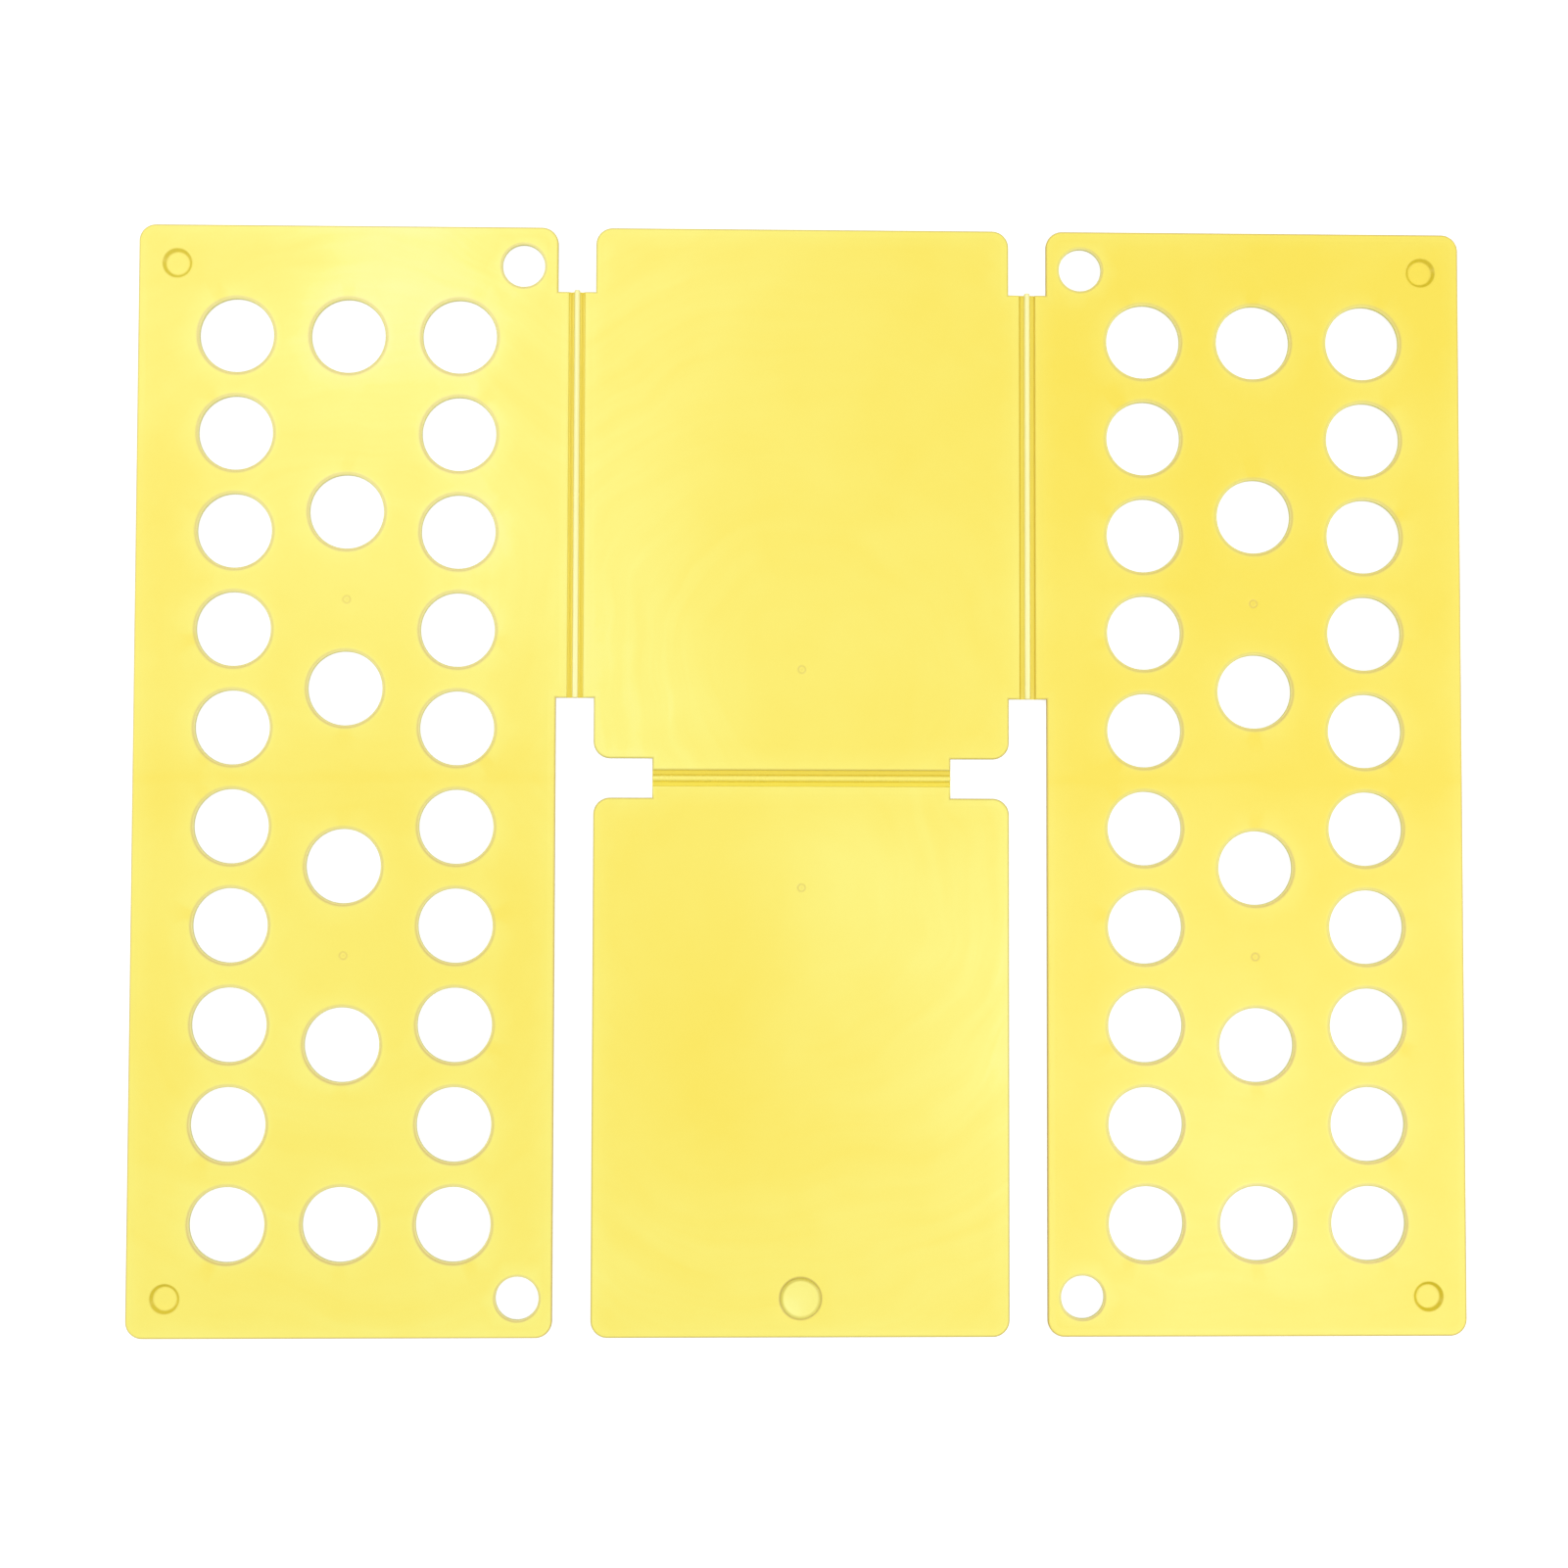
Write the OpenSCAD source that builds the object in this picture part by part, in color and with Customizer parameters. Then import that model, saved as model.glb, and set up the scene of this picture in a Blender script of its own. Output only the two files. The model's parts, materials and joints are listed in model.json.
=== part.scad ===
// Shirt folding board. Four flat polypropylene panels are moulded as one sheet and
// joined by double film hinges. Each hinge is a round bar with a thin flexible web on
// either side of it. A panel folds through half a turn: 90 degrees at the web next to
// the middle panel and 90 degrees more at the web next to the folding panel.
//
// Frame: the board lies flat with its working face up (+Z). The origin is under the
// centre of the board, in the plane of the peg tips. +X points to the right wing and
// +Y to the top edge.
//
// Stacking: with everything folded the order from below is upper panel, lower panel,
// left wing, right wing. The two flex lines of each hinge are spaced so that every
// panel lies flat on the one below it with a little free height.

/* [Board] */
// Width across both wings
board_w = 480; // [470:5:540]
// Height from the bottom edge to the top edge
board_h = 400; // [385:5:460]
// Thickness of the panels
sheet_t = 1.6; // [1.4:0.1:1.6]
// Radius of the panel corners
corner_r = 6; // [2:0.5:7]
// Width of the upper and lower middle panels
centre_w = 150; // [140:1:156]
// Open slot between a wing and the middle panels, beside the hinge
side_slot = 13.7; // [12:0.1:16]
// Open slot between the upper and the lower panel, beside the hinge
cross_slot = 14.2; // [12:0.1:16]

/* [Hinges] */
// Width of a hinge from panel edge to panel edge
hinge_w = 5.8; // [5.8:0.1:6.6]
// Diameter of the hinge bars
bar_d = 2.1; // [1.7:0.1:2.1]
// Thickness of the webs beside the bars
web_t = 0.6; // [0.5:0.05:0.75]
// Radius of the flex groove in each web
groove_r = 0.3; // [0.2:0.05:0.35]
// Distance between the two flex lines of the middle hinge
mid_pitch = 2.2; // [2.2:0.05:2.3]
// Free height between stacked panels
stack_gap = 0.1; // [0.05:0.05:0.15]
// Length of the side hinges
side_hinge_l = 147.6; // [100:0.2:150]
// Height of the side hinges' lower ends above the board's middle line
side_hinge_y = 28.9; // [22:0.1:34]
// Length of the middle hinge
mid_hinge_l = 107.6; // [60:0.2:116]
// How far each side bar runs past the top of its webs
bar_over = 0.7; // [0:0.1:1.5]

/* [Wing holes] */
// Diameter of the large holes
hole_d = 26.6; // [20:0.2:30]
// Holes in each outer column
rows = 10; // [5:1:10]
// Holes in the middle column
mid_rows = 6; // [3:1:6]
// Distance from the top and bottom edges to the first holes
row_margin = 40.3; // [36:0.1:46]
// Distance between the hole columns
col_pitch = 40.2; // [34:0.2:41]

/* [Locking pegs] */
// Diameter of the corner holes beside the hinges
lock_hole_d = 15.3; // [14.8:0.1:16.5]
// Outer diameter of the pegs at their root
peg_d = 13.4; // [12.6:0.1:13.8]
// Outer diameter of the pegs at their tip
peg_tip_d = 12.4; // [11.8:0.1:12.6]
// Diameter of the shallow well over each peg, at the working face
well_d = 10.6; // [9.4:0.1:11.2]
// Diameter of the flat floor of the well
well_floor_d = 8.4; // [6:0.1:9]
// Depth of the well
well_depth = 1.2; // [0.8:0.1:1.2]
// Height of the pegs under the panels
peg_h = 1.6; // [1:0.1:1.6]
// Distance from the outer edge of the wing to the peg's centre
peg_inset_x = 13.8; // [12:0.1:16]
// Distance from the top and bottom edges to the peg's centre
peg_inset_y = 14.1; // [12:0.1:16]

/* [Thumb disc] */
// Diameter of the raised disc on the lower panel
disc_d = 14.6; // [10:0.2:18]
// Height of the disc above the panel
disc_h = 0.4; // [0.3:0.05:0.4]
// Distance from the bottom edge to the disc's centre
disc_inset = 13.9; // [12:0.1:30]

/* [Hidden] */
$fn = 64;

sheet_color = [0.98, 0.93, 0.42];
light_color = [0.99, 0.95, 0.55];
web_color = [0.90, 0.80, 0.28];

// outer edges of the board and of the middle panels
edge_x = board_w / 2;
edge_y = board_h / 2;
centre_x = centre_w / 2;

// heights of the underside, the working face and the flex lines
under_z = peg_h;
face_z = peg_h + sheet_t;
flex_z = peg_h + sheet_t / 2;

// centre line and top end of the side hinges, and the inner edge of the wings
hinge_x = centre_x + side_slot / 2;
side_hinge_top = side_hinge_y + side_hinge_l;
wing_x = centre_x + side_slot;
wing_mid_x = (edge_x + wing_x) / 2;

// spacing of the flex lines, each one panel higher in the stack than the last
left_pitch = mid_pitch + sheet_t + stack_gap;
right_pitch = left_pitch + sheet_t + stack_gap;
// gap all round between a bar and its webs
bar_gap = 0.01;

// the pegs, and the corner holes that meet the other wing's pegs when both are folded
peg_x = edge_x - peg_inset_x;
peg_y = edge_y - peg_inset_y;
lock_x = 4 * hinge_x - peg_x;
peg_bevel = 0.4;
// how far the well's cutter rises above the working face, at the same slope
well_over = 0.2;
well_top_d = well_d + (well_d - well_floor_d) * well_over / well_depth;

// the disc's outer bevel, and the rim and sloped side of the dish in its top
disc_bevel = disc_h * 0.6;
disc_rim_w = 1.2;
dish_slope_w = 0.6;
dish_depth = 0.12;

// rectangle between two corners
module span(x0, y0, x1, y1) {
  translate([x0, y0]) square([x1 - x0, y1 - y0]);
}

// rectangle between two corners, with rounded corners
module rounded(x0, y0, x1, y1, r) {
  span(x0 + r, y0, x1 - r, y1);
  span(x0, y0 + r, x1, y1 - r);
  for (x = [x0 + r, x1 - r], y = [y0 + r, y1 - r]) translate([x, y]) circle(r = r);
}

// outline drawn for the +x side, mirrored if side is -1
module facing(side) {
  if (side > 0) children();
  else mirror([1, 0]) children();
}

// a panel's outline made into a sheet at working height
module sheet_of() {
  translate([0, 0, under_z]) linear_extrude(sheet_t) children();
}

// Tabs that carry hinges reach corner_r into their panel where they could meet
// its rounded edge.
module upper_outline() {
  rounded(-centre_x, cross_slot / 2, centre_x, edge_y, corner_r);
  // tabs that carry the side hinges
  span(-hinge_x + hinge_w / 2, side_hinge_y, hinge_x - hinge_w / 2, side_hinge_top);
  // tab that carries the middle hinge
  span(-mid_hinge_l / 2, hinge_w / 2, mid_hinge_l / 2, cross_slot / 2 + corner_r);
}

module lower_outline() {
  rounded(-centre_x, -edge_y, centre_x, -cross_slot / 2, corner_r);
  span(-mid_hinge_l / 2, -cross_slot / 2 - corner_r, mid_hinge_l / 2, -hinge_w / 2);
}

// column of large holes, spread evenly between the margins
module hole_column(x, count) {
  pitch = (board_h - 2 * row_margin) / (count - 1);
  for (i = [0 : count - 1])
    translate([x, -edge_y + row_margin + i * pitch]) circle(d = hole_d);
}

// the wing on the +X side
module wing_outline() {
  difference() {
    union() {
      rounded(wing_x, -edge_y, edge_x, edge_y, corner_r);
      span(hinge_x + hinge_w / 2, side_hinge_y, wing_x + corner_r, side_hinge_top);
    }
    for (s = [-1, 1]) hole_column(wing_mid_x + s * col_pitch, rows);
    hole_column(wing_mid_x, mid_rows);
    // corner holes beside the hinge
    for (s = [-1, 1]) translate([lock_x, s * peg_y]) circle(d = lock_hole_d);
  }
}

// shallow conical wells sunk into the working face over the pegs
module wells(x) {
  for (s = [-1, 1]) translate([x, s * peg_y, face_z - well_depth])
    cylinder(d1 = well_floor_d, d2 = well_top_d, h = well_depth + well_over);
}

// left (-1) or right (1) wing
module wing(side) {
  difference() {
    sheet_of() facing(side) wing_outline();
    wells(side * peg_x);
  }
}

// half of a hinge's cross-section: the web on the +x side of the bar, with a
// round-bottomed flex groove whose centre is the fold axis
module web_profile(pitch) {
  difference() {
    // starts inside the bar, so that the bar's circle shapes its inner edge
    translate([bar_d / 4, -web_t]) square([hinge_w / 2 - bar_d / 4, web_t]);
    circle(d = bar_d + 2 * bar_gap);
    translate([pitch / 2, 0]) circle(r = groove_r);
  }
}

// web on the left (-1) or right (1) of the side hinge bar at x
module side_web(x, side, pitch) {
  translate([x, side_hinge_top, flex_z]) rotate([90, 0, 0]) linear_extrude(side_hinge_l)
    facing(side) web_profile(pitch);
}

// web above (1) or below (-1) the middle hinge bar, as seen on the flat board
module cross_web(side) {
  translate([-mid_hinge_l / 2, 0, flex_z]) rotate([90, 0, 90]) linear_extrude(mid_hinge_l)
    facing(side) web_profile(mid_pitch);
}

module side_bar(x) {
  translate([x, side_hinge_top + bar_over, flex_z]) rotate([90, 0, 0])
    cylinder(d = bar_d, h = side_hinge_l + bar_over);
}

// short drafted peg with a bevelled tip
module peg() {
  rotate_extrude() polygon([
    [0, 0],
    [peg_tip_d / 2 - peg_bevel, 0],
    [peg_tip_d / 2, peg_bevel],
    [peg_d / 2, peg_h],
    [0, peg_h]
  ]);
}

module pegs(x) {
  for (s = [-1, 1]) translate([x, s * peg_y, 0]) peg();
}

module upper_panel() { color(sheet_color) sheet_of() upper_outline(); }
module lower_panel() { color(sheet_color) sheet_of() lower_outline(); }
module left_wing() { color(sheet_color) wing(-1); }
module right_wing() { color(sheet_color) wing(1); }

module left_hinge_bar() { color(light_color) side_bar(-hinge_x); }
module right_hinge_bar() { color(light_color) side_bar(hinge_x); }
module middle_hinge_bar() {
  color(light_color) translate([-mid_hinge_l / 2, 0, flex_z]) rotate([0, 90, 0])
    cylinder(d = bar_d, h = mid_hinge_l);
}

module left_inner_web() { color(web_color) side_web(-hinge_x, 1, left_pitch); }
module left_outer_web() { color(web_color) side_web(-hinge_x, -1, left_pitch); }
module right_inner_web() { color(web_color) side_web(hinge_x, -1, right_pitch); }
module right_outer_web() { color(web_color) side_web(hinge_x, 1, right_pitch); }
module middle_upper_web() { color(web_color) cross_web(1); }
module middle_lower_web() { color(web_color) cross_web(-1); }

module left_wing_pegs() { color(sheet_color) pegs(-peg_x); }
module right_wing_pegs() { color(sheet_color) pegs(peg_x); }

// low raised disc with a shallow dish in its top
module thumb_disc() {
  disc_r = disc_d / 2;
  dish_r = disc_r - disc_rim_w;
  color(light_color) translate([0, -edge_y + disc_inset, face_z]) rotate_extrude() polygon([
    [0, 0],
    [disc_r, 0],
    [disc_r, disc_h - disc_bevel],
    [disc_r - disc_bevel, disc_h],
    [dish_r, disc_h],
    [dish_r - dish_slope_w, disc_h - dish_depth],
    [0, disc_h - dish_depth]
  ]);
}

upper_panel();
lower_panel();
left_wing();
right_wing();
left_hinge_bar();
right_hinge_bar();
middle_hinge_bar();
left_inner_web();
left_outer_web();
right_inner_web();
right_outer_web();
middle_upper_web();
middle_lower_web();
left_wing_pegs();
right_wing_pegs();
thumb_disc();
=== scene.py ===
"""Shirt folding board: four moulded panels joined by three double film hinges.

It lies open on the floor: X across the board, +Y towards the upper panel, working face up (+Z).
The upper and lower panels are stacked in the middle, with a wing on each side.
Lengths are millimetres in the part's own frame unless said otherwise; meshes are in metres.
"""
import json
import math

import bmesh
import bpy
import numpy as np
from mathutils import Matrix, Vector
from mathutils.geometry import delaunay_2d_cdt


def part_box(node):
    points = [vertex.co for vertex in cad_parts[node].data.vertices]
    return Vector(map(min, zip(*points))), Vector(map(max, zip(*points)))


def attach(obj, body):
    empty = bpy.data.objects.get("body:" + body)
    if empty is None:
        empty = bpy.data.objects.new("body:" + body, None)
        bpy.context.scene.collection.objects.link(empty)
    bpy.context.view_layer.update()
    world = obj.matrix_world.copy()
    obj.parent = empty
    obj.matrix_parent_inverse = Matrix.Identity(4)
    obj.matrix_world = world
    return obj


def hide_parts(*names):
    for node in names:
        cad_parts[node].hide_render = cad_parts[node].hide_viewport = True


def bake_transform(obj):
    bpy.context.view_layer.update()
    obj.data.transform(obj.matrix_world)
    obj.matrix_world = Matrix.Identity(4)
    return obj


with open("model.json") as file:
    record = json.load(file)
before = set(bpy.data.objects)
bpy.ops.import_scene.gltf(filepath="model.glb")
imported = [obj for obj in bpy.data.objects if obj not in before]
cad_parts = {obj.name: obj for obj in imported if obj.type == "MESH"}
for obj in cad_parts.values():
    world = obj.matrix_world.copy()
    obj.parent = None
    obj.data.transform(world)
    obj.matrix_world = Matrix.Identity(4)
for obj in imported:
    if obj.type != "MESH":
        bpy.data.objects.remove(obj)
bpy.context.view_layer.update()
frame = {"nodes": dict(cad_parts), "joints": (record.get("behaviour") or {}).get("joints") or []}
MM = 0.001


# ---------------------------------------------------------------- places, taken from the frame
def box_mm(node):
    return [(np.array(corner) * 1000.0).tolist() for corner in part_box(node)]


upper_lo, upper_hi = box_mm("upper_panel")
lower_hi = box_mm("lower_panel")[1]
wing_lo, wing_hi = box_mm("right_wing")
left_bar_lo, left_bar_hi = box_mm("left_hinge_bar")
right_bar_lo, right_bar_hi = box_mm("right_hinge_bar")
middle_bar_lo, middle_bar_hi = box_mm("middle_hinge_bar")
thumb_lo, thumb_hi = box_mm("thumb_disc")
web_lo, web_hi = box_mm("left_inner_web")

BACK_Z, FACE_Z = upper_lo[2], upper_hi[2]         # back and working faces of the panels
FLEX_Z = (BACK_Z + FACE_Z) / 2                    # plane of the flex lines
HALF_W, HALF_H = wing_hi[0], upper_hi[1]          # half width and half height of the board
BAR_R = (left_bar_hi[0] - left_bar_lo[0]) / 2
LEFT_X = (left_bar_lo[0] + left_bar_hi[0]) / 2    # centre lines of the side bars
RIGHT_X = (right_bar_lo[0] + right_bar_hi[0]) / 2
TAB_X = upper_hi[0]                               # outer edge of the upper panel's side tabs
TAB_Y = upper_lo[1]                               # lower edge of its middle tab
HINGE_LO, HINGE_HI = web_lo[1], web_hi[1]         # ends of the side hinges along Y
MIDDLE_X = middle_bar_hi[0]                       # half length of the middle hinge
PANEL_X = lower_hi[0]                             # half width of the middle panels
WING_TAB_X = wing_lo[0]                           # inner edge of the right wing's tab
WING_X = RIGHT_X + (RIGHT_X - PANEL_X)            # inner edge of the right wing itself
WING_MID = (HALF_W + WING_X) / 2
WEB_T = web_hi[2] - web_lo[2]
THUMB_Y = (thumb_lo[1] + thumb_hi[1]) / 2
THUMB_R = (thumb_hi[0] - thumb_lo[0]) / 2

SLOT_Y = 7.1                        # edges of the slot between the middle panels
CORNER_R = 6.0
HINGE_GAP = 2.9                     # from a bar's centre line to the panel edges beside it
GROOVE_R = 0.3                      # flex groove of a web
GRID = 5.5                          # mesh spacing over the faces
OUTLINE_STEP = 5.0                  # mesh spacing along straight edges
GATE_X, GATE_Y = 164.1, 64.0        # where the melt came into each wing, mirrored
PANEL_GATE_Y = 39.4                 # the same for the middle panels, on x = 0
PEG_X, WING_END_Y = 226.2, 185.9    # pegs, and the wells over them, in the outer wing corners
BIG_HOLE_R, SMALL_HOLE_R = 26.6 / 2, 15.3 / 2


def joint_mm(name):
    joint = next(j for j in frame["joints"] if j["name"] == name)
    return [c * 1000.0 for c in joint["pos_m"]]


# ---------------------------------------------------------------- outlines
def corner(x, y, start_deg):
    """Quarter round about (x, y), anticlockwise from start_deg."""
    angles = np.radians(np.linspace(start_deg, start_deg + 90, 15))
    return [(x + CORNER_R * math.cos(a), y + CORNER_R * math.sin(a)) for a in angles]


def resample(points):
    """Adds points along the long sides, so that the sheet's mesh is even."""
    out = []
    for i in range(len(points)):
        a, b = np.array(points[i]), np.array(points[(i + 1) % len(points)])
        length = float(np.linalg.norm(b - a))
        if length < 1e-6:
            continue
        count = max(1, int(round(length / OUTLINE_STEP)))
        out.extend(tuple(a + (b - a) * j / count) for j in range(count))
    return np.array(out)


def circle(x, y, radius, count):
    """Clockwise, so that the sheet is on its left."""
    t = np.linspace(0, 2 * math.pi, count, endpoint=False)
    return np.stack([x + radius * np.cos(-t), y + radius * np.sin(-t)], 1)


ROUND_X = PANEL_X - CORNER_R        # centres of the corner rounds
ROUND_TOP = HALF_H - CORNER_R
ROUND_SLOT = SLOT_Y + CORNER_R


def upper_outline():
    points = [(-MIDDLE_X, TAB_Y), (MIDDLE_X, TAB_Y), (MIDDLE_X, SLOT_Y)]
    points += corner(ROUND_X, ROUND_SLOT, -90)
    points += [(PANEL_X, HINGE_LO), (TAB_X, HINGE_LO), (TAB_X, HINGE_HI), (PANEL_X, HINGE_HI)]
    points += corner(ROUND_X, ROUND_TOP, 0) + corner(-ROUND_X, ROUND_TOP, 90)
    points += [(-PANEL_X, HINGE_HI), (-TAB_X, HINGE_HI), (-TAB_X, HINGE_LO), (-PANEL_X, HINGE_LO)]
    points += corner(-ROUND_X, ROUND_SLOT, 180) + [(-MIDDLE_X, SLOT_Y)]
    return resample(points)


def lower_outline():
    points = corner(-ROUND_X, -ROUND_TOP, 180) + corner(ROUND_X, -ROUND_TOP, 270)
    points += corner(ROUND_X, -ROUND_SLOT, 0)
    points += [(MIDDLE_X, -SLOT_Y), (MIDDLE_X, -TAB_Y), (-MIDDLE_X, -TAB_Y), (-MIDDLE_X, -SLOT_Y)]
    points += corner(-ROUND_X, -ROUND_SLOT, 90)
    return resample(points)


def wing_outline(side):
    inner, outer = WING_X + CORNER_R, HALF_W - CORNER_R
    points = corner(inner, -ROUND_TOP, 180) + corner(outer, -ROUND_TOP, 270)
    points += corner(outer, ROUND_TOP, 0) + corner(inner, ROUND_TOP, 90)
    points += [(WING_X, HINGE_HI), (WING_TAB_X, HINGE_HI),
               (WING_TAB_X, HINGE_LO), (WING_X, HINGE_LO)]
    if side < 0:
        points = [(-x, y) for x, y in reversed(points)]
    return resample(points)


def offset(loop, distance):
    """The loop moved into the sheet, with mitred corners. The sheet is on the loop's left."""
    after = np.roll(loop, -1, 0) - loop
    before = loop - np.roll(loop, 1, 0)
    after /= np.linalg.norm(after, axis=1)[:, None]
    before /= np.linalg.norm(before, axis=1)[:, None]
    normal_a = np.stack([-before[:, 1], before[:, 0]], 1)
    normal_b = np.stack([-after[:, 1], after[:, 0]], 1)
    mitre = 1.0 + (normal_a * normal_b).sum(1)
    return loop + distance * (normal_a + normal_b) / mitre[:, None]


# ---------------------------------------------------------------- edge cross-sections
# Rows are (distance into the sheet, height, wall share), from the back round to the working face.
# The wall share is how much of the deep wall colour a point takes; that colour is painted shade on
# the walls and rounds.
def back_round(radius, shares):
    angles = [math.radians(90 * i / (len(shares) - 1)) for i in range(len(shares))]
    return [(radius * (1 - math.sin(a)), BACK_Z + radius * (1 - math.cos(a)), share)
            for a, share in zip(angles, shares)]


def face_round(radius, shares):
    angles = [math.radians(90 * i / (len(shares) - 1)) for i in range(len(shares))]
    return [(radius * (1 - math.cos(a)), FACE_Z - radius * (1 - math.sin(a)), share)
            for a, share in zip(angles, shares)]


BACK_ROWS = [(0.95, BACK_Z, 0.0), (0.6, BACK_Z, 0.0)]
BACK_R, EDGE_R = 0.3, 0.55
# outer edge, with a shallow dip just inside the rim
EDGE_PROFILE = (
    BACK_ROWS + back_round(BACK_R, (0.0, 0.5, 1.0, 1.0)) + [(0.0, FLEX_Z, 1.0)]
    + face_round(EDGE_R, (1.0, 1.0, 0.95, 0.82, 0.62, 0.40))
    + [(EDGE_R + 0.22, FACE_Z, 0.0), (1.9, FACE_Z, 0.0), (2.35, FACE_Z - 0.02, 0.0),
       (2.75, FACE_Z - 0.032, 0.0), (3.15, FACE_Z - 0.024, 0.0), (3.55, FACE_Z - 0.012, 0.0)])


def lip_profile(radius, fade):
    """A hole's lip. fade: (distance past the rounding, drop, wall share) of its tan band of
    painted shade.
    """
    return (BACK_ROWS + back_round(BACK_R, (0.0, 0.175, 0.35, 0.35)) + [(0.0, FLEX_Z, 0.30)]
            + face_round(radius, (0.24, 0.24, 0.30, 0.46, 0.76, 1.0))
            + [(radius + distance, FACE_Z - drop, share) for distance, drop, share in fade])


LIP = lip_profile(0.52, [(0.2, 0.0, 0.85), (0.42, 0.0, 0.35), (0.62, 0.0, 0.0)])
BIG_LIP = lip_profile(0.64, [
    (0.2, 0.0, 1.08), (0.42, 0.0, 0.82), (0.66, 0.0, 0.34),
    (0.95, 0.003, 0.05), (1.5, 0.005, 0.0), (2.7, 0.010, 0.0)])

# Round marks in the working face: (radius, height from the face, share of painted cup shade if it
# has one).
GATE = [(1.95, 0.0), (1.72, -0.02), (1.5, -0.075), (1.28, -0.1), (1.06, -0.07),
        (0.86, -0.015), (0.6, -0.004), (0.4, -0.03), (0.2, -0.05)]
WELL = [(5.75, 0.0, 0.0), (5.5, -0.015, 0.15), (5.36, -0.05, 0.5), (5.24, -0.12, 0.85),
        (5.14, -0.22, 1.0), (4.85, -0.52, 1.0), (4.52, -0.88, 1.0), (4.38, -1.04, 0.9),
        (4.22, -1.14, 0.55), (4.0, -1.19, 0.2), (3.7, -1.2, 0.0), (2.2, -1.19, 0.0),
        (0.9, -1.18, 0.05)]
MOAT = [(8.1, 0.0), (7.95, -0.02), (7.8, -0.06), (7.65, -0.12), (7.5, -0.16),
        (7.3, -0.18), (6.6, -0.18), (3.0, -0.18)]


# ---------------------------------------------------------------- mesh building
class Shell:
    """Collects rings of points with their wall shares, and the faces between them."""

    def __init__(self):
        self.points, self.shares, self.faces = [], [], []
        self.count = 0

    def add(self, points, share):
        """Adds points and returns the index of the first."""
        start = self.count
        self.points.append(points)
        self.shares.append(np.full(len(points), share))
        self.count += len(points)
        return start

    def add_ring(self, loop, height, share):
        return self.add(np.column_stack([loop, np.full(len(loop), height)]), share)

    def bridge(self, a, b, count):
        """Quads between two rings that start at a and b."""
        for i in range(count):
            j = (i + 1) % count
            self.faces.append((a + i, a + j, b + j, b + i))

    def verts(self):
        return np.vstack(self.points)

    def wall(self):
        return np.concatenate(self.shares)


def finish_mesh(name, verts, faces, wall=0.0, halo_and_painted_glow=0.0, tone=0.0, cup_shade=None, crease_deg=38.0):
    """Smooth object with creases where the faces turn sharply, and its colour attributes."""
    me = bpy.data.meshes.new(name)
    me.from_pydata([tuple(v) for v in verts * MM], [], faces)
    me.validate()
    bm = bmesh.new()
    bm.from_mesh(me)
    bmesh.ops.recalc_face_normals(bm, faces=bm.faces)
    limit = math.radians(crease_deg)
    for face in bm.faces:
        face.smooth = True
    for edge in bm.edges:
        if len(edge.link_faces) == 2 and edge.calc_face_angle(0.0) > limit:
            edge.smooth = False
    bm.to_mesh(me)
    bm.free()
    attributes = {"wall": wall, "halo_and_painted_glow": halo_and_painted_glow}
    if cup_shade is not None:
        attributes["cup_shade"] = cup_shade
    attributes["tone"] = tone
    for key, values in attributes.items():
        data = me.attributes.new(key, "FLOAT", "POINT").data
        data.foreach_set("value", np.full(len(verts), values, np.float32))
    me.update()
    ob = bpy.data.objects.new(name, me)
    bpy.context.scene.collection.objects.link(ob)
    return ob


def inside(polygon, points):
    """Which points lie in a polygon."""
    x, y = points[:, 0], points[:, 1]
    hit = np.zeros(len(points), bool)
    x0, y0 = polygon[-1]
    for x1, y1 in polygon:
        cross = ((y1 > y) != (y0 > y))
        if y1 != y0:
            cross &= x < (x0 - x1) * (y - y1) / (y0 - y1) + x1
        hit ^= cross
        x0, y0 = x1, y1
    return hit


def ripple(x, y, seed):
    """Very slow sink waves of a moulded sheet, between 0 and about -1."""
    waves = (math.sin(seed) + np.sin(x / 23.0 + 1.7 * seed + 0.6 * np.sin(y / 41.0))
             + np.sin(y / 31.0 + 2.3 * seed + 0.8 * np.sin(x / 37.0))
             + 0.6 * np.sin((x + y) / 17.0 + seed))
    return (waves / 3.6 - 1.0) / 2.0


def face_grid(outline):
    """Staggered points over the outline's bounding box, in rows of equal triangles."""
    lo, hi = outline.min(0), outline.max(0)
    xs = np.arange(lo[0] + GRID * 0.7, hi[0], GRID)
    ys = np.arange(lo[1] + GRID * 0.7, hi[1], GRID * 0.8660254)
    return np.array([(x + (GRID / 2 if j % 2 else 0.0), y) for j, y in enumerate(ys) for x in xs])


def open_points(points, boundary, discs):
    """The points inside the boundary, clear of it and of the discs."""
    keep = GRID * 0.42
    ok = inside(boundary, points)
    for corner_point in boundary:
        ok &= ((points - corner_point) ** 2).sum(1) > keep * keep
    for x, y, radius in discs:
        ok &= (points[:, 0] - x) ** 2 + (points[:, 1] - y) ** 2 > (radius + keep) ** 2
    return points[ok]


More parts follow.
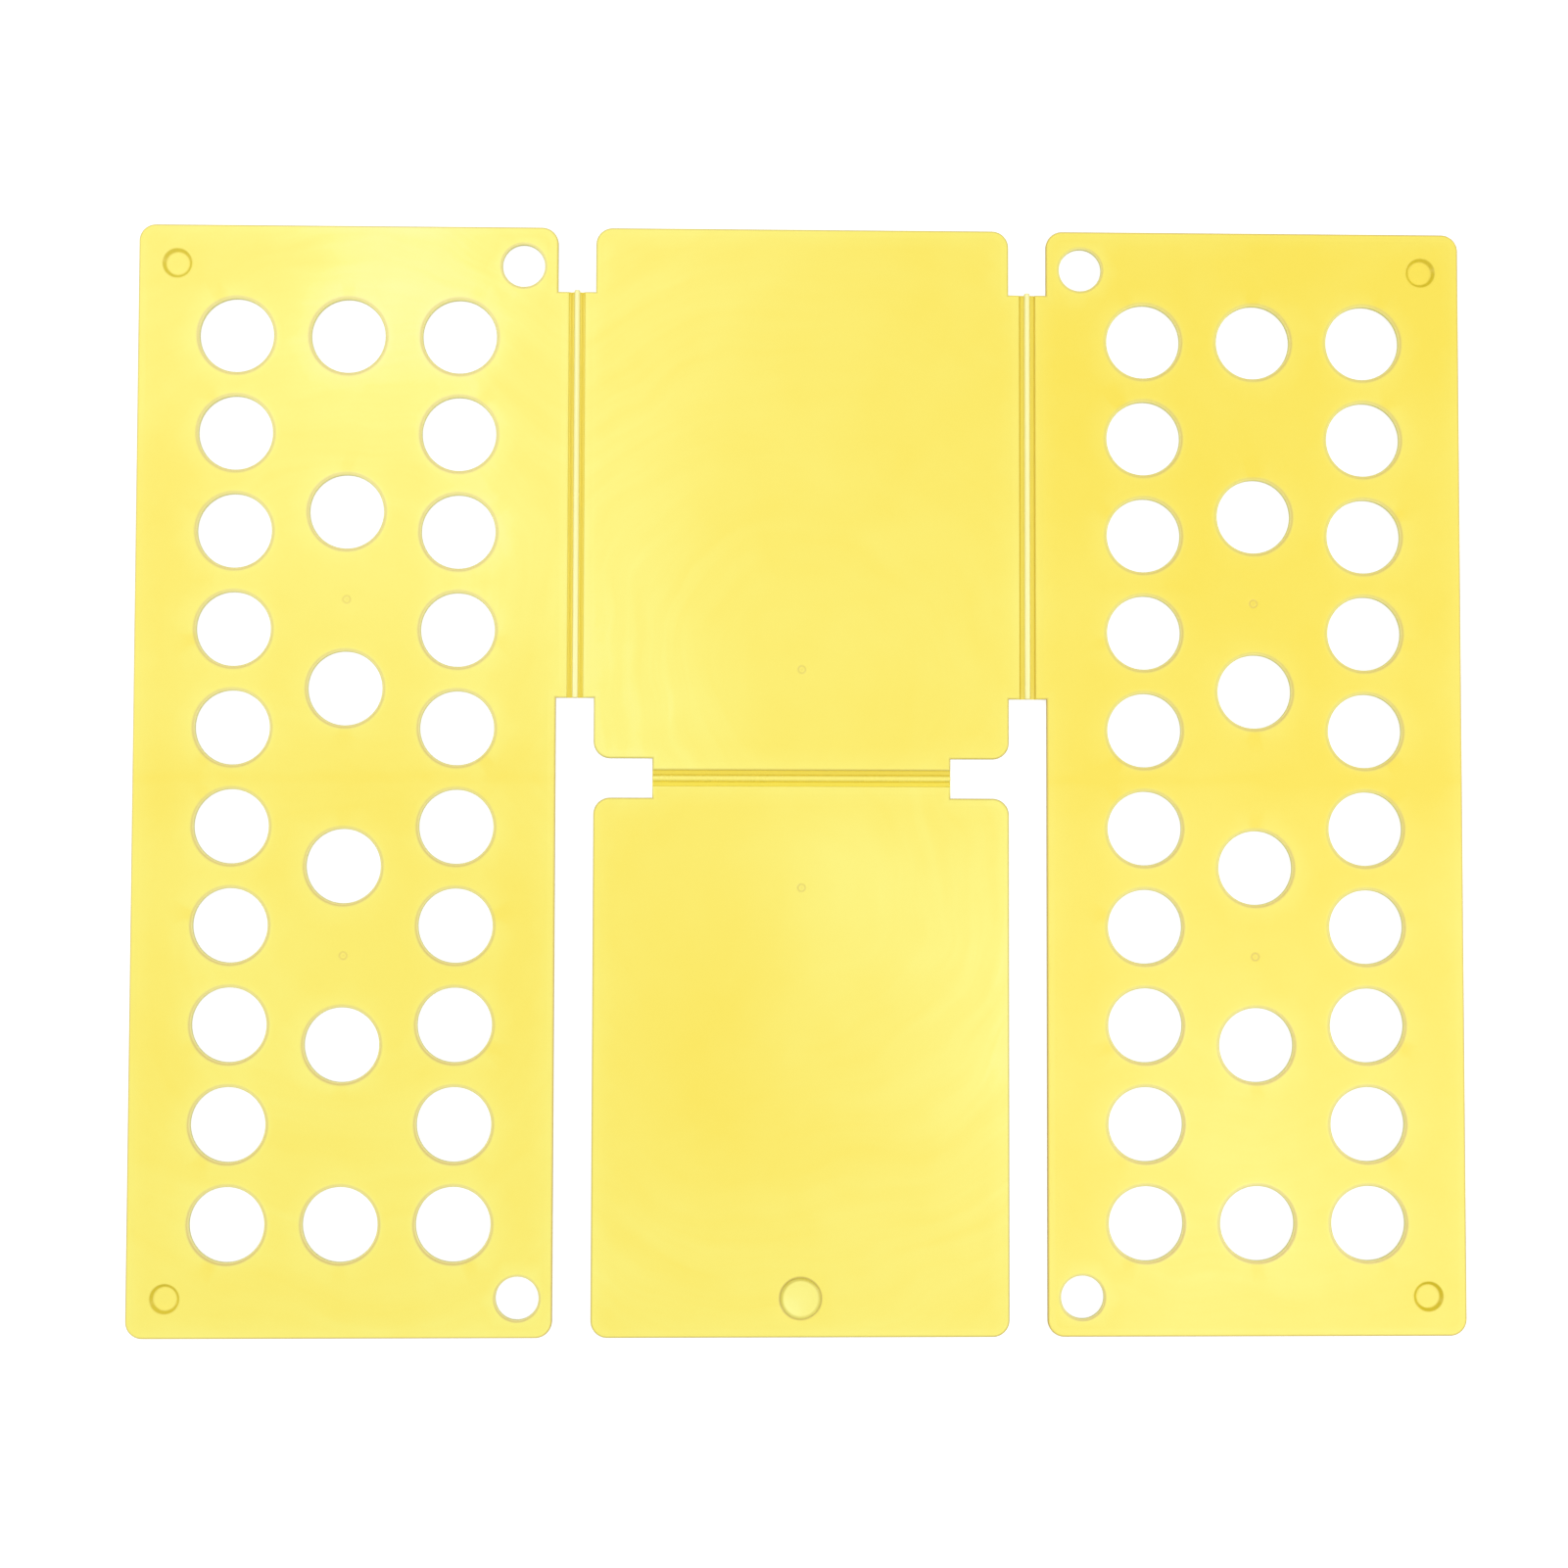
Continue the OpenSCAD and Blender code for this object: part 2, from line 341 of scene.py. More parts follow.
def cap(shell, rings, discs, grid, height, up):
    """Fills between rings (first index, points), the outer one first, leaving the discs open."""
    coords, index, edges = [], [], []
    for start, ring in rings:
        first, count = len(coords), len(ring)
        coords += [Vector((float(p[0]), float(p[1]))) for p in ring]
        index += list(range(start, start + count))
        edges += [(first + i, first + (i + 1) % count) for i in range(count)]
    points = open_points(grid, rings[0][1], discs)
    coords += [Vector((float(p[0]), float(p[1]))) for p in points]
    start = shell.add(np.column_stack([points, height(points[:, 0], points[:, 1])]), 0.0)
    index += list(range(start, shell.count))
    result = delaunay_2d_cdt(coords, edges, [], 1, 1e-5, True)
    flat, triangles, origins = result[0], result[2], result[3]
    middles = [(flat[t[0]] + flat[t[1]] + flat[t[2]]) / 3 for t in triangles]
    kept = inside(rings[0][1], np.array([tuple(m) for m in middles]))
    for t, middle, ok in zip(triangles, middles, kept):
        if not ok or any((middle.x - x) ** 2 + (middle.y - y) ** 2 < r * r for x, y, r in discs):
            continue
        area = (flat[t[1]] - flat[t[0]]).cross(flat[t[2]] - flat[t[0]])
        triangle = [index[origins[i][0]] for i in t]
        if len(set(triangle)) < 3 or abs(area) < 1e-9:
            continue
        if (area > 0) != up:
            triangle.reverse()
        shell.faces.append(tuple(triangle))


def press_mark(shell, x, y, rows):
    """A round mark, closed at its centre. Returns its outer ring and its rings with painted cup
    shade.
    """
    count = 48 if rows[0][0] > 4 else 28
    starts, cups = [], []
    for radius, depth, *cup_shade_share in rows:
        # rings without a cup share take painted shade by their depth, as in the gate marks and the
        # moat
        share = 0.0 if cup_shade_share else min(1.0, -depth * 6.0)
        starts.append(shell.add_ring(circle(x, y, radius, count), FACE_Z + depth, share))
        if cup_shade_share:
            cups.append((starts[-1], count, cup_shade_share[0]))
    for outer, inner in zip(starts, starts[1:]):
        shell.bridge(inner, outer, count)
    centre = shell.add(np.array([[x, y, FACE_Z + rows[-1][1]]]), 0.0)
    for i in range(count):
        shell.faces.append((centre, starts[-1] + (i + 1) % count, starts[-1] + i))
    return (starts[0], circle(x, y, rows[0][0], count)), cups


def hole_shading(verts, holes):
    """Flow halo round the holes with painted glow on their lips, weld seams behind them, and
    painted shade shares of their lips.
    """
    halo_and_painted_glow, seam, lip_shade = np.zeros((3, len(verts)))
    for x, y, radius, _, _ in holes:
        dx, dy = verts[:, 0] - x, verts[:, 1] - y
        reach = np.hypot(dx, dy)
        ux, uy = dx / (reach + 1e-6), dy / (reach + 1e-6)
        dist = np.abs(reach - radius)
        # direction of the flow, from the gate to the hole
        flow_x, flow_y = x - math.copysign(GATE_X, x), y - math.copysign(GATE_Y, y)
        away = (dx * flow_x + dy * flow_y) / (reach * math.hypot(flow_x, flow_y) + 1e-6)
        lee = 0.5 + 0.5 * np.clip(ux * math.copysign(1.0, flow_x), -1, 1)
        strength = 0.75 + 0.25 * math.sin(x * 0.31 + y * 0.17)
        halo_and_painted_glow = np.maximum(halo_and_painted_glow, np.exp(-(dist / (2.6 + 2.8 * lee)) ** 2) * strength)
        # painted glow on the thin lip; rub is the share of painted shade on it, largest on the
        # lower and outer sides
        lip_width = 1.3 if radius > 10 else 0.95
        halo_and_painted_glow = np.maximum(halo_and_painted_glow, 4.0 * np.exp(-(dist / lip_width) ** 2))
        outward = ux * math.copysign(1.0, x)
        up = verts[:, 1] / 160.0 if False else y / 160.0
        rub = 0.27 + 0.0205 * (16.0 + 3.0 * ux + 5.0 * outward - uy * (8.0 - 2.5 * up) - 2.0 * up)
        lip_shade = np.where(dist < 3.0, rub, lip_shade)
        if radius > 10:
            line = np.exp(-((1 - away) / 0.012) ** 2) * np.exp(-((dist - 2.0) / 4.0) ** 2)
            seam = np.maximum(seam, line * (0.7 + 0.3 * math.sin(x * 0.53 + y * 0.29)))
    return halo_and_painted_glow, seam, lip_shade


def tone_field(field, x, y):
    """Soft colour field: a base value and a few broad patches."""
    total, patches = field
    for amount, px, py, spread_x, spread_y in patches:
        total = total + amount * np.exp(-((x - px) / spread_x) ** 2 - ((y - py) / spread_y) ** 2)
    return total


def sheet(name, outline, holes, marks, seed, tones):
    """A moulded sheet with rounded edges, lipped holes and round marks in its working face.
    holes: (x, y, radius, points, profile). marks: (x, y, rows)."""
    shell = Shell()
    loops = [(outline, EDGE_PROFILE)]
    loops += [(circle(x, y, radius, count), profile) for x, y, radius, count, profile in holes]
    fronts, backs, cups = [], [], []
    for loop, profile in loops:
        starts = [shell.add_ring(offset(loop, inset), z, share) for inset, z, share in profile]
        for a, b in zip(starts, starts[1:]):
            shell.bridge(a, b, len(loop))
        backs.append((starts[0], offset(loop, profile[0][0])))
        fronts.append((starts[-1], offset(loop, profile[-1][0])))
    for x, y, rows in marks:
        ring, mark_cups = press_mark(shell, x, y, rows)
        fronts.append(ring)
        cups += mark_cups
    # discs to leave open, a hair smaller than the rings round them
    front_discs = [(x, y, r + profile[-1][0] - 0.02) for x, y, r, _, profile in holes]
    front_discs += [(x, y, rows[0][0] - 0.01) for x, y, rows in marks]
    back_discs = [(x, y, r + profile[0][0] - 0.02) for x, y, r, _, profile in holes]
    grid = face_grid(outline)
    cap(shell, fronts, front_discs, grid,
        lambda x, y: FACE_Z - 0.012 + 0.02 * ripple(x, y, seed), True)
    cap(shell, backs, back_discs, grid,
        lambda x, y: BACK_Z - 0.012 * ripple(x, y, seed + 2.0), False)

    verts, wall = shell.verts(), shell.wall()
    halo_and_painted_glow, seam, lip_shade = hole_shading(verts, holes)
    edge_dist = np.full(len(verts), 1e9)
    for x, y in outline:
        edge_dist = np.minimum(edge_dist, np.hypot(verts[:, 0] - x, verts[:, 1] - y))
    # a paler band just inside the outer edge
    halo_and_painted_glow = np.maximum(halo_and_painted_glow, 0.75 * np.exp(-(edge_dist / 4.2) ** 2))
    # painted shade on the edges grows towards the lower right of the board; on the lips it follows
    # the lip shares
    slope = np.clip(0.84 + (verts[:, 0] - verts[:, 1]) / 1300.0, 0.55, 1.0)
    wall = wall * np.where(lip_shade > 0, lip_shade, slope)
    abs_x, abs_y = np.abs(verts[:, 0]), np.abs(verts[:, 1])
    by_side_bar = ((np.abs(abs_x - RIGHT_X) < 3.6)
                   & (verts[:, 1] > HINGE_LO - 0.05) & (verts[:, 1] < HINGE_HI + 0.05))
    by_middle_bar = (abs_y < 3.6) & (abs_x < MIDDLE_X + 0.05)
    # beside the side bars the painted shade is cut to a fifth; by the middle bar it stays on the
    # upper panel's edge, and the lower panel's edge gets painted light instead
    wall = np.where(by_side_bar, wall * 0.2, wall)
    wall = np.where(by_middle_bar, wall * np.where(verts[:, 1] > 0, 0.9, 0.0), wall)
    halo_and_painted_glow = np.where(by_middle_bar & (verts[:, 1] < 0) & (verts[:, 2] < FACE_Z - 0.02), 2.0, halo_and_painted_glow)
    # the mould closes along the hinge edges, so their rounding is squeezed to about a third
    crisp_reach, crisp = 0.56, 0.35
    front = verts[:, 2] > FLEX_Z
    side_edge = np.where(abs_x > RIGHT_X, RIGHT_X + HINGE_GAP, RIGHT_X - HINGE_GAP)
    near = by_side_bar & front & (np.abs(abs_x - side_edge) < crisp_reach)
    squeezed = np.sign(verts[:, 0]) * (side_edge + (abs_x - side_edge) * crisp)
    verts[:, 0] = np.where(near, squeezed, verts[:, 0])
    near = by_middle_bar & front & (verts[:, 1] < 0) & (abs_y - HINGE_GAP < crisp_reach)
    verts[:, 1] = np.where(near, -HINGE_GAP - (abs_y - HINGE_GAP) * crisp, verts[:, 1])
    cup_shade = np.zeros(len(verts))
    # painted shade on the well walls, stronger towards the lower right of the board
    for first, count, share in cups:
        light = np.clip(0.88 + (verts[first, 0] - verts[first, 1]) / 2400.0, 0.6, 1.0)
        cup_shade[first:first + count] = share * light
    return finish_mesh(name, verts, shell.faces, wall=wall, halo_and_painted_glow=halo_and_painted_glow - 1.1 * seam, cup_shade=cup_shade,
                       tone=tone_field(tones, verts[:, 0], verts[:, 1]))


def lathe(centres, profile, around, axis="Z"):
    """The same turned shape at each centre. profile: (radius, height along the axis, wall share of
    painted shade).
    """
    shell = Shell()
    t = np.linspace(0, 2 * math.pi, around, endpoint=False)
    for centre in centres:
        rows = []
        for radius, height, share in profile:
            pole = radius < 1e-6
            x, y = (np.zeros((2, 1)) if pole else (radius * np.cos(t), radius * np.sin(t)))
            z = np.full(len(x), height)
            turned = {"X": (z, x, y), "Y": (x, z, -y), "Z": (x, y, z)}[axis]
            rows.append((shell.add(np.stack(turned, 1) + np.array(centre), share), pole))
        for (a, a_pole), (b, b_pole) in zip(rows, rows[1:]):
            if not (a_pole or b_pole):
                shell.bridge(a, b, around)
                continue
            for i in range(around):
                j = (i + 1) % around
                shell.faces.append((a, b + i, b + j) if a_pole else (a + j, a + i, b))
    return shell


# ---------------------------------------------------------------- panels
# Colour fields: base, then patches (amount, x, y, spread in x, spread in y).
LEFT_TONE = (0.17, [
    (0.75, -148, 178, 36, 46), (0.18, -150, 120, 80, 100), (0.22, -100, 100, 26, 60),
    (-0.14, -235, 40, 26, 180), (-0.16, -165, 40, 40, 24), (0.12, -120, -190, 70, 40),
    (0.14, -185, -120, 60, 50), (-0.08, -103, -40, 8, 120)])
RIGHT_TONE = (-0.11, [
    (0.42, 160, -140, 34, 50), (0.34, 140, -184, 70, 22), (0.12, 120, -130, 30, 50),
    (-0.20, 200, 175, 90, 60), (-0.08, 165, 60, 60, 70), (0.14, 215, -170, 40, 50),
    (0.10, 94, -60, 8, 100)])
UPPER_TONE = (0.10, [
    (0.42, -66, 70, 26, 110), (0.20, -40, 30, 24, 40), (-0.10, 30, 120, 60, 60),
    (0.08, 30, 40, 60, 40), (-0.04, 66, 175, 34, 40), (0.06, -50, 170, 40, 40)])
LOWER_TONE = (0.10, [
    (0.30, 14, -36, 26, 26), (0.44, 68, -84, 30, 90), (-0.18, -36, -86, 32, 56),
    (0.26, -56, -180, 44, 34), (0.08, 20, -170, 50, 30)])
# the disc's patch is painted light, paler towards its lower left
THUMB_TONE_WITH_PAINTED_LIGHT = (0.35, [(0.5, -3.5, THUMB_Y - 3.5, 4, 4)])


def wing_holes(side):
    """Two outer columns of ten large holes, a middle column of six, two small ones inboard."""
    top = 159.7
    ten = [top - i * 35.488889 for i in range(10)]
    six = [top - i * 63.88 for i in range(6)]
    large = [(side * (WING_MID + s * 40.2), y) for s in (-1, 1) for y in ten]
    large += [(side * WING_MID, y) for y in six]
    holes = [(x, y, BIG_HOLE_R, 72, BIG_LIP) for x, y in large]
    return holes + [(side * 101.2, s * WING_END_Y, SMALL_HOLE_R, 56, LIP) for s in (-1, 1)]


def wing(name, side, seed, tones):
    marks = [(side * GATE_X, s * GATE_Y, GATE) for s in (-1, 1)]
    marks += [(side * PEG_X, s * WING_END_Y, WELL) for s in (-1, 1)]
    return sheet(name, wing_outline(side), wing_holes(side), marks, seed, tones)


upper = sheet("upper_panel_moulding", upper_outline(), [], [(0.0, PANEL_GATE_Y, GATE)],
              0.4, UPPER_TONE)
lower = sheet("lower_panel_moulding", lower_outline(), [],
              [(0.0, -PANEL_GATE_Y, GATE), (0.0, THUMB_Y, MOAT)], 1.9, LOWER_TONE)
left = wing("left_wing_moulding", -1, 3.1, LEFT_TONE)
right = wing("right_wing_moulding", 1, 4.7, RIGHT_TONE)


# ---------------------------------------------------------------- hinge bars
def bar(name, centre, axis, lo, hi):
    """Round bar from lo to hi along its axis, with softly broken ends and a faint waviness."""
    soft = 0.28
    core = BAR_R - soft
    angles = np.radians([22.5, 45, 67.5])
    profile = [(0.0, lo, 1.0), (core, lo, 1.0)]
    profile += [(core + soft * math.sin(a), lo + soft - soft * math.cos(a), 0.7) for a in angles]
    length = hi - lo
    steps = max(8, int(length / 6))
    for i in range(steps + 1):
        z = lo + soft + (length - 2 * soft) * (i / steps)
        profile.append((BAR_R - 0.008 * (0.5 + 0.5 * math.sin(z * 0.35)), z, 0.0))
    profile += [(core + soft * math.cos(a), hi - soft + soft * math.sin(a), 0.7) for a in angles]
    profile += [(core, hi, 1.0), (0.0, hi, 1.0)]
    shell = lathe([centre], profile, 40, axis)
    return finish_mesh(name, shell.verts(), shell.faces, wall=shell.wall())


left_bar = bar("left_hinge_bar_round", (LEFT_X, 0, FLEX_Z), "Y", left_bar_lo[1], left_bar_hi[1])
right_bar = bar("right_hinge_bar_round", (RIGHT_X, 0, FLEX_Z), "Y",
                right_bar_lo[1], right_bar_hi[1])
middle_bar = bar("middle_hinge_bar_round", (0, 0, FLEX_Z), "X",
                 middle_bar_lo[0], middle_bar_hi[0])


# ---------------------------------------------------------------- film webs
def web_section(groove):
    """Closed section as (distance from the bar's centre line, height from the flex plane)."""
    start, end = 0.9, HINGE_GAP + 0.03
    across = set(np.linspace(start, end, 30).round(4))
    near_groove = np.linspace(groove - GROOVE_R, groove + GROOVE_R, 17)
    across |= set(np.clip(near_groove, start, end).round(4))
    top, bottom = [], []
    for u in sorted(across):
        to_panel = end - 0.03 - u
        height = 0.0
        if abs(u - groove) < GROOVE_R:
            height = -math.sqrt(GROOVE_R ** 2 - (u - groove) ** 2)
        # small fillets into the bar and the panel's edge, where the groove leaves room
        if groove - GROOVE_R > BAR_R + 0.1 and u > BAR_R:
            height += 0.16 * max(0.0, 1 - (u - BAR_R) / 0.22) ** 2
        if groove + GROOVE_R < end - 0.2:
            height += 0.16 * max(0.0, 1 - to_panel / 0.22) ** 2
        top.append((u, min(0.18, height)))
        if u > BAR_R:
            under = WEB_T + 0.05 * max(0.0, 1 - to_panel / 0.25) ** 2
        else:
            under = min(WEB_T, math.sqrt(max(0.0, BAR_R ** 2 - u * u)) + 0.3)
        bottom.append((u, -under))
    return np.array(top + bottom[::-1])


def web(name, bar_x, side, groove, lo, hi, along):
    """Thin strip on one side of a bar, with a round flex groove, from lo to hi along X or Y."""
    section = web_section(groove)
    count = len(section)
    length = hi - lo
    steps = max(10, int(length / 5))
    stops = [lo, lo + 0.12] + [lo + length * i / steps for i in range(1, steps)] + [hi - 0.12, hi]
    shell = Shell()
    for i, stop in enumerate(stops):
        soften = 0.14 if i in (0, len(stops) - 1) else 0.0       # thinner at the two ends
        z = FLEX_Z + section[:, 1] + (-WEB_T / 2 - section[:, 1]) * soften
        across, run = side * section[:, 0], np.full(count, stop)
        points = (bar_x + across, run, z) if along == "Y" else (run, across, z)
        shell.add(np.stack(points, 1), 0.0)
    for i in range(len(stops) - 1):
        shell.bridge(i * count, (i + 1) * count, count)
    last = (len(stops) - 1) * count
    for first in (0, last):
        for j in range(count // 2 - 1):
            quad = (first + j, first + j + 1, first + count - 2 - j, first + count - 1 - j)
            shell.faces.append(quad if first else tuple(reversed(quad)))
    return finish_mesh(name, shell.verts(), shell.faces, crease_deg=50.0)


# hinge: (x of the bar, direction across it from the upper panel outwards)
HINGES = {"left": (LEFT_X, (-1, 0, 0)), "right": (RIGHT_X, (1, 0, 0)), "middle": (0, (0, -1, 0))}
# hinge, web, joint on its flex line, body before and after the line,
# reach of the bend before and after the line. The first web of a hinge is on its near side.
WEBS = [
    ("left", "inner", "left_bar_fold", "upper_panel", "left_bar", 0.5, 0.5),
    ("left", "outer", "left_wing_fold", "left_bar", "left_wing", 0.5, 0.5),
    ("right", "inner", "right_bar_fold", "upper_panel", "right_bar", 0.12, 0.7),
    ("right", "outer", "right_wing_fold", "right_bar", "right_wing", 0.7, 0.12),
    ("middle", "upper", "middle_bar_fold", "upper_panel", "middle_bar", 0.7, 0.12),
    ("middle", "lower", "lower_panel_fold", "middle_bar", "lower_panel", 0.12, 0.7),
]


def hinge_web(hinge, part, joint, before):
    bar_x, direction = HINGES[hinge]
    towards = sum(direction)
    side = -towards if before == "upper_panel" else towards
    flex, name = joint_mm(joint), f"{hinge}_{part}_film"
    if hinge == "middle":
        return web(name, bar_x, side, abs(flex[1]), -MIDDLE_X, MIDDLE_X, "X")
    return web(name, bar_x, side, abs(flex[0] - bar_x), HINGE_LO, HINGE_HI, "Y")


webs = [hinge_web(*row[:4]) for row in WEBS]


# ---------------------------------------------------------------- pegs under the wing corners
def pegs(name, x):
    root, tip = 13.4 / 2, 12.4 / 2
    profile = [(0.0, 0.12, 0.0), (1.6, 0.10, 0.0), (tip - 2.0, 0.03, 0.0), (tip - 1.1, 0.0, 0.0),
               (tip - 0.45, 0.0, 0.3)]
    profile += [(tip - 0.45 + 0.4 * math.sin(a), 0.4 - 0.4 * math.cos(a), 0.6)
                for a in np.radians([25, 50, 75, 90])]
    profile += [(root - 0.14, BACK_Z - 0.35, 0.8), (root + 0.02, BACK_Z - 0.16, 0.8),
                (root + 0.22, BACK_Z - 0.03, 0.5), (root + 0.4, BACK_Z + 0.01, 0.2),
                (root * 0.5, BACK_Z + 0.08, 0.0), (0.0, BACK_Z + 0.08, 0.0)]
    shell = lathe([(x, s * WING_END_Y, 0.0) for s in (-1, 1)], profile, 56)
    return finish_mesh(name, shell.verts(), shell.faces, wall=shell.wall(), crease_deg=50.0)


left_pegs = pegs("left_wing_short_pegs", -PEG_X)
right_pegs = pegs("right_wing_short_pegs", PEG_X)


# ---------------------------------------------------------------- thumb disc
def thumb(name):
    """Raised disc with a rounded rim and a slightly dished top."""
    r, base, top = THUMB_R, FACE_Z, thumb_hi[2]
    profile = [
        (0.0, base - 0.2, 0.0), (r - 0.02, base - 0.2, 0.9), (r, base - 0.03, 1.0),
        (r - 0.12, base + 0.10, 1.0), (r - 0.34, base + 0.22, 1.0), (r - 0.62, base + 0.32, 0.92),
        (r - 0.92, top - 0.02, 0.6), (r - 1.2, top, 0.12), (r - 1.45, top, 0.0),
        (r - 1.75, top - 0.02, 0.0), (r - 2.1, top - 0.06, 0.0), (r - 2.5, top - 0.10, 0.0),
        (r - 2.9, top - 0.12, 0.0), (r * 0.45, top - 0.135, 0.0), (r * 0.2, top - 0.14, 0.0),
        (0.0, top - 0.14, 0.0)]
    shell = lathe([(0.0, THUMB_Y, 0.0)], profile, 64)
    verts = shell.verts()
    x, y = verts[:, 0], verts[:, 1]
    # painted shade on the rim, darkest towards 115 degrees, its upper left side
    turn = np.arctan2(y - THUMB_Y, x) - math.radians(115)
    return finish_mesh(name, verts, shell.faces, wall=shell.wall() * (0.74 + 0.26 * np.cos(turn)),
                       tone=tone_field(THUMB_TONE_WITH_PAINTED_LIGHT, x, y), crease_deg=50.0)


disc = thumb("thumb_disc_raised")


# ---------------------------------------------------------------- materials
class Graph:
    """Short ways to add linked nodes to an emptied node tree."""

    def __init__(self, owner):
        owner.use_nodes = True
        self.tree = owner.node_tree
        self.tree.nodes.clear()

    def node(self, kind, inputs, **settings):
        """inputs: socket name or index to a value or an output socket."""
        node = self.tree.nodes.new(kind)
        for key, value in settings.items():
            setattr(node, key, value)
        for key, value in inputs.items():
            if isinstance(value, bpy.types.NodeSocket):
                self.tree.links.new(value, node.inputs[key])
            else:
                node.inputs[key].default_value = value
        return node

    def math(self, operation, *values, clamp=False):
        inputs = dict(enumerate(values))
        return self.node("ShaderNodeMath", inputs, operation=operation, use_clamp=clamp).outputs[0]

    def sway(self, noise, amount, onto):
        """Adds a noise, centred on zero and scaled, onto a value."""
        return self.math("MULTIPLY_ADD", self.math("SUBTRACT", noise, 0.5), amount, onto)

    def bell(self, value, width):
        """exp(-(value / width) squared)."""
        ratio = self.math("DIVIDE", value, width)
        square = self.math("MULTIPLY", ratio, ratio)
        return self.math("EXPONENT", self.math("MULTIPLY", square, -1.0))

    def mix(self, factor, a, b):
        a, b = [(*c, 1.0) if isinstance(c, tuple) else c for c in (a, b)]
        return self.node("ShaderNodeMix", {0: factor, 6: a, 7: b}, data_type="RGBA").outputs[2]

    def attribute(self, key):
        return self.node("ShaderNodeAttribute", {}, attribute_name=key).outputs["Fac"]

    def noise(self, vector, scale, detail=2.0, roughness=0.5, distortion=0.0):
        return self.node("ShaderNodeTexNoise", {
            "Scale": scale, "Detail": detail, "Roughness": roughness,
            "Distortion": distortion, "Vector": vector}).outputs["Fac"]

    def bump(self, distance, height, **more):
        return self.node("ShaderNodeBump", {
            "Strength": 1.0, "Distance": distance, "Height": height, **more}).outputs[0]


def flow_marks(g, field, tone, x, y, gate, rings, surface_noise):
    """Thin broken arcs round the point where the melt came in, added to the colour field."""
    gate_dx = g.math("SUBTRACT", g.math("ABSOLUTE", x), gate[0] * MM)
    gate_dy = g.math("SUBTRACT", g.math("ABSOLUTE", y), gate[1] * MM)
    square = g.math("ADD", g.math("MULTIPLY", gate_dx, gate_dx),
                    g.math("MULTIPLY", gate_dy, gate_dy))
    radius = g.sway(surface_noise(14.0), 0.040, g.math("SQRT", square))
    polar = g.node("ShaderNodeCombineXYZ", {0: g.math("MULTIPLY", radius, 12.0), 1: x, 2: y})
    ring = g.noise(polar.outputs[0], 13.0, detail=3.0)
    # strongest in pale areas, and absent close to the gate
    pale = g.math("MULTIPLY_ADD", tone, 1.3, 0.12, clamp=True)
    where = g.math("MULTIPLY", pale, g.math("MULTIPLY_ADD", radius, 28.0, -0.35, clamp=True))
    marks = g.math("MULTIPLY", g.math("SUBTRACT", ring, 0.5), where)
    return g.math("MULTIPLY_ADD", marks, rings, field)


